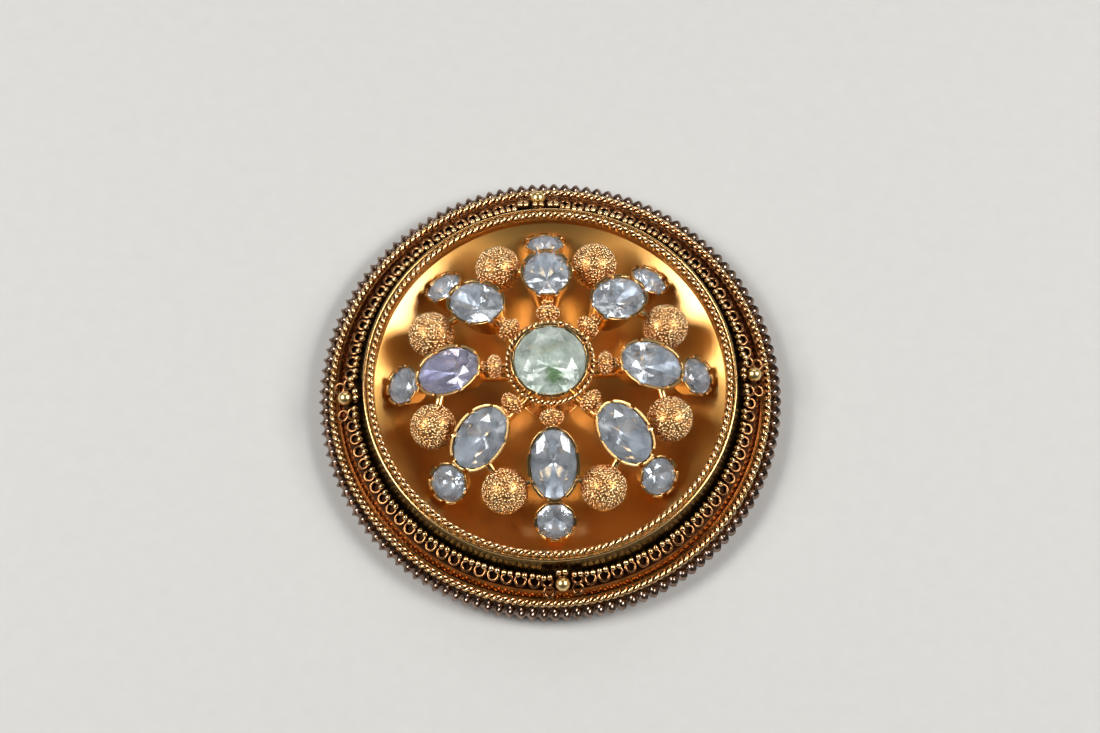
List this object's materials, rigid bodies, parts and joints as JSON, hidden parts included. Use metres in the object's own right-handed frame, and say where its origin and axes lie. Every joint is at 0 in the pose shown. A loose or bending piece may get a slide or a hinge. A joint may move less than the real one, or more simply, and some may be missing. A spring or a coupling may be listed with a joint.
{
  "type": "disc brooch",
  "caption": "Round domed disc brooch: a flower of cut stones in notched collets with gold balls, in a dished plate with a rope, ring-chain and coiled-wire border.",
  "frame": {"origin": "under the middle of the brooch, on the surface that it lies on with its back down", "axes": "+Z out of the face, towards the eye; +X and +Y across the face, the pin running along X behind the upper half"},
  "size_m": [0.047, 0.047, 0.0133],
  "materials": {
    "gilt_sheet": "satin gilt, worn",
    "gilt_wirework": "polished gilt on the high points, dark in the recesses",
    "dark_wire": "worn gilt wire with a brown patina",
    "blue_stone": "polished facets, icy blue",
    "green_stone": "polished facets, pale green"
  },
  "bodies": {
    "root": {"back_case": "gilt_sheet", "pin_stem": "gilt_sheet", "catch": "gilt_sheet", "border_wall": "gilt_sheet", "dish": "gilt_sheet", "rim_rope": "gilt_wirework", "ring_chain": "gilt_wirework", "edge_rope": "gilt_wirework", "edge_coil": "dark_wire", "quarter_grain_1": "gilt_wirework", "quarter_grain_2": "gilt_wirework", "quarter_grain_3": "gilt_wirework", "quarter_grain_4": "gilt_wirework", "cluster_frame": "gilt_wirework", "centre_rope": "gilt_wirework", "centre_stone": "green_stone", "oval_stone_1": "blue_stone", "oval_stone_2": "blue_stone", "oval_stone_3": "blue_stone", "oval_stone_4": "blue_stone", "oval_stone_5": "blue_stone", "oval_stone_6": "blue_stone", "oval_stone_7": "blue_stone", "oval_stone_8": "blue_stone", "tip_stone_1": "blue_stone", "tip_stone_2": "blue_stone", "tip_stone_3": "blue_stone", "tip_stone_4": "blue_stone", "tip_stone_5": "blue_stone", "tip_stone_6": "blue_stone", "tip_stone_7": "blue_stone", "tip_stone_8": "blue_stone", "gold_ball_1": "gilt_wirework", "gold_ball_2": "gilt_wirework", "gold_ball_3": "gilt_wirework", "gold_ball_4": "gilt_wirework", "gold_ball_5": "gilt_wirework", "gold_ball_6": "gilt_wirework", "gold_ball_7": "gilt_wirework", "gold_ball_8": "gilt_wirework", "bead_1": "gilt_wirework", "bead_2": "gilt_wirework", "bead_3": "gilt_wirework", "bead_4": "gilt_wirework", "bead_5": "gilt_wirework", "bead_6": "gilt_wirework", "bead_7": "gilt_wirework", "bead_8": "gilt_wirework"}
  },
  "joints": []
}
